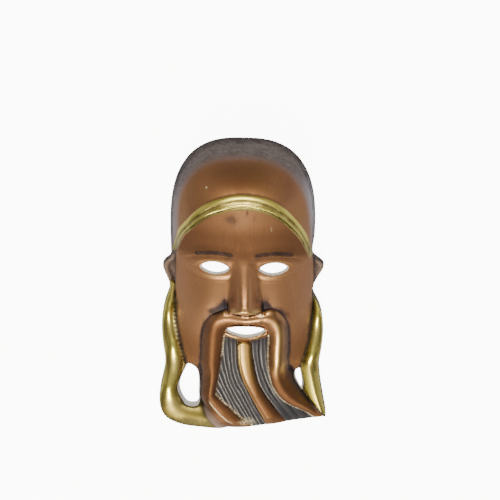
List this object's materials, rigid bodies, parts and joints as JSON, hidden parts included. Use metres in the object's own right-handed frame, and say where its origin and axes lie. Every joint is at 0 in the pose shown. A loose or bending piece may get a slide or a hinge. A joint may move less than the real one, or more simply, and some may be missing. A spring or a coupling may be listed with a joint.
{
  "type": "chinese mask",
  "caption": "Hollow cast metal wall mask of a bearded man in a round cap with hanging ribbons, lying face up on its flat back rim, with open eyes, open mouth and gaps inside the ribbons.",
  "frame": {"origin": "centre of the bounding box in plan, on the plane of the flat back rim that the mask lies on", "axes": "+Z out of the face, +Y from the beard towards the top of the cap, +X to the right of a viewer who faces the mask"},
  "size_m": [0.1294, 0.2236, 0.0532],
  "materials": {
    "cast_mask": "satin copper-brown patina with polished yellow brass band and ribbons, dark in the recesses"
  },
  "bodies": {
    "root": {"mask": "cast_mask"}
  },
  "joints": []
}
